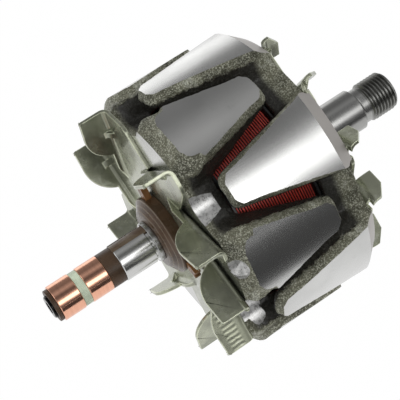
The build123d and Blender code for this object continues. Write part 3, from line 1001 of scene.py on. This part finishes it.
class ROTOR_OT_rings(bpy.types.Operator):
    """Fit the slip rings, their carrier and insulator, the collar and the spacer"""

    bl_idname = "rotor.rings"
    bl_label = "Fit the slip rings"
    bl_options = {"REGISTER", "UNDO"}

    def execute(self, context):
        finishes = context.scene.rotor_finishes
        copper = turned_copper("turned_copper", finishes.copper)
        pale = moulded("insulator_moulding", finishes.insulator, smoothest=0.4, roughest=0.55)
        brown = moulded("brown_moulding", finishes.moulding, smoothest=0.35, roughest=0.55)
        steel = ground_steel("turned_ring", toned(finishes.steel, 0.72), smoothest=0.2, roughest=0.36)
        fitted = (
            ("front_slip_ring", copper, "copper", 0.35),
            ("rear_slip_ring", copper, "copper", 0.35),
            ("ring_insulator", pale, "pale_plastic", 0.15),
            ("ring_carrier", brown, "brown_plastic", 0.25),
            ("collar", steel, "ground_steel", 0.25),
            ("spacer", steel, "ground_steel", 0.5),
        )
        for node, material, slot, rounding in fitted:
            piece = copy_of(node, node + "_turned")
            bevel(piece, rounding * MM)
            smooth(piece, angle=35.0)
            dress(piece, material, slot, node)
        return {"FINISHED"}


class ROTOR_OT_leads(bpy.types.Operator):
    """Fit the lead disc, its ears and the tongue under the journal"""

    bl_idname = "rotor.leads"
    bl_label = "Fit the leads"
    bl_options = {"REGISTER", "UNDO"}

    def execute(self, context):
        finishes = context.scene.rotor_finishes
        brown = moulded("lead_moulding", finishes.moulding, smoothest=0.2, roughest=0.36,
                        depth=0.00015, rings=0.45)
        resin = moulded("lead_resin", finishes.resin, smoothest=0.12, roughest=0.3, depth=0.0003)
        fitted = (
            ("lead_disc", brown, "brown_plastic", 0.3),
            ("lead_tongue", brown, "brown_plastic", 0.12),
            ("front_lead_ear", resin, "copper_lead", 0.3),
            ("rear_lead_ear", resin, "copper_lead", 0.3),
        )
        for node, material, slot, rounding in fitted:
            piece = copy_of(node, node + "_moulded")
            bevel(piece, rounding * MM)
            smooth(piece, angle=40.0)
            dress(piece, material, slot, node)
        return {"FINISHED"}


class ROTOR_OT_stage(bpy.types.Operator):
    """Set the floor, the lamps, the world and the camera"""

    bl_idname = "rotor.stage"
    bl_label = "Set the stage"
    bl_options = {"REGISTER", "UNDO"}

    def execute(self, context):
        scene = context.scene
        level = -POLE_RADIUS * MM - FLOOR_GAP
        self.floor(level, scene.rotor_finishes.floor)
        self.dark_card(level + CARD_LIFT)
        self.world(scene)
        for lamp in LAMPS:
            self.lamp(*lamp)
        self.camera(scene)
        scene.view_settings.view_transform = "Standard"
        return {"FINISHED"}

    def floor(self, level, colour):
        """Floor that shows white to the camera and in the metal, and keeps a soft shadow."""
        bpy.ops.object.select_all(action="DESELECT")
        bpy.ops.mesh.primitive_plane_add(size=FLOOR_SIZE, location=(*FLOOR_PLACE, level))
        floor = settle(named("studio_floor"))
        g = Graph.finish_of("studio_floor")
        g.finish({"Base Color": tuple(colour), "Roughness": 0.9, "Specular IOR Level": 0.1})
        white = g.add("Emission", {}, {"Color": WHITE, "Strength": 1.0})
        share = self.seen(g) * FLOOR_WHITENESS
        both = g.add("MixShader", {}, {0: share, 1: Wire(g, g.shader.outputs[0]), 2: white})
        g.feed(g.tree.nodes["Material Output"].inputs["Surface"], both)
        floor.data.materials.append(g.owner)

    def dark_card(self, level):
        """Dark card that the camera doesn't see and that casts no shadow."""
        bpy.ops.object.select_all(action="DESELECT")
        bpy.ops.mesh.primitive_plane_add(size=1.0, location=(*CARD_PLACE, level))
        card = named("dark_card")
        card.scale = CARD_SIZE
        settle(card)
        g = Graph.finish_of("dark_card")
        g.finish({"Roughness": 0.9}, Base_Color=g.mix(g.noise(40.0), *CARD_TONES))
        card.data.materials.append(g.owner)
        card.visible_camera = False
        card.visible_shadow = False

    def seen(self, g):
        """1 where a ray comes from the camera, off metal or through glass, else 0."""
        others = g.ray("Glossy") + g.ray("Transmission")
        return g.add("Math", {"operation": "ADD", "use_clamp": True}, {0: g.ray("Camera"), 1: others})

    def world(self, scene):
        """Strip lights and dark gaps round the shaft, white where the camera sees past the floor."""
        world = bpy.data.worlds.new("studio")
        scene.world = world
        g = Graph(world, "Generated", "Background")
        turn = g.round_shaft(g.across("Z"), 0.0 - g.across("Y"))
        stops = tuple((0.5 + angle / 360.0, (level, level, level)) for angle, level in STRIPS)
        strips = g.add("ValToRGB", {"stops": stops}, {"Fac": turn}, "Color")
        ends = g.across("X").through("ABSOLUTE").step(*SHAFT_ENDS)
        light = g.mix(ends, strips, LIGHT_AT_ENDS)
        light = g.mix(g.ray("Diffuse"), light, LIGHT_ON_MATT)
        g.feed(g.shader.inputs["Color"], g.mix(g.ray("Camera"), light, WHITE))

    def lamp(self, name, bearing, rise, wide, high, power):
        """Soft rectangular lamp that looks at the middle of the rotor."""
        data = bpy.data.lights.new(name, "AREA")
        data.shape = "RECTANGLE"
        data.size = wide
        data.size_y = high
        data.energy = power
        lamp = bpy.data.objects.new(name, data)
        bpy.context.scene.collection.objects.link(lamp)
        side, up = math.radians(bearing), math.radians(rise)
        away = Vector((math.cos(up) * math.cos(side), math.cos(up) * math.sin(side), math.sin(up)))
        lamp.location = Vector(LAMP_AIM) + away * LAMP_DISTANCE
        lamp.rotation_euler = (-away).to_track_quat("-Z", "Y").to_euler()

    def camera(self, scene):
        """Camera at the photograph's angle."""
        data = bpy.data.cameras.new("camera")
        data.lens = CAMERA_LENS
        data.clip_start, data.clip_end = CAMERA_CLIP
        camera = bpy.data.objects.new("camera", data)
        scene.collection.objects.link(camera)
        camera.location = CAMERA_PLACE
        camera.rotation_euler = Euler([math.radians(angle) for angle in CAMERA_TURN], "XYZ")
        scene.camera = camera


class ROTOR_PT_panel(bpy.types.Panel):
    """Sizes, colours and pieces of the rotor"""

    bl_label = "Claw-Pole Rotor"
    bl_idname = "ROTOR_PT_panel"
    bl_space_type = "VIEW_3D"
    bl_region_type = "UI"
    bl_category = "Rotor"

    def draw(self, context):
        for group in (context.scene.rotor_sizes, context.scene.rotor_finishes):
            box = self.layout.box()
            for key in group.bl_rna.properties.keys():
                if key not in ("rna_type", "name"):
                    box.prop(group, key)
        for operator in OPERATORS:
            self.layout.operator(operator.bl_idname)


OPERATORS = (ROTOR_OT_shaft, ROTOR_OT_poles, ROTOR_OT_coil, ROTOR_OT_fans, ROTOR_OT_rings, ROTOR_OT_leads,
             ROTOR_OT_stage)
CLASSES = (RotorSizes, RotorFinishes) + OPERATORS + (ROTOR_PT_panel,)


def register():
    for item in CLASSES:
        bpy.utils.register_class(item)
    bpy.types.Scene.rotor_sizes = PointerProperty(type=RotorSizes)
    bpy.types.Scene.rotor_finishes = PointerProperty(type=RotorFinishes)


def unregister():
    del bpy.types.Scene.rotor_finishes
    del bpy.types.Scene.rotor_sizes
    for item in reversed(CLASSES):
        bpy.utils.unregister_class(item)


def main():
    register()
    bpy.ops.rotor.shaft()
    bpy.ops.rotor.poles()
    bpy.ops.rotor.coil()
    bpy.ops.rotor.fans()
    bpy.ops.rotor.rings()
    bpy.ops.rotor.leads()
    bpy.ops.rotor.stage()


if __name__ == "__main__":
    main()
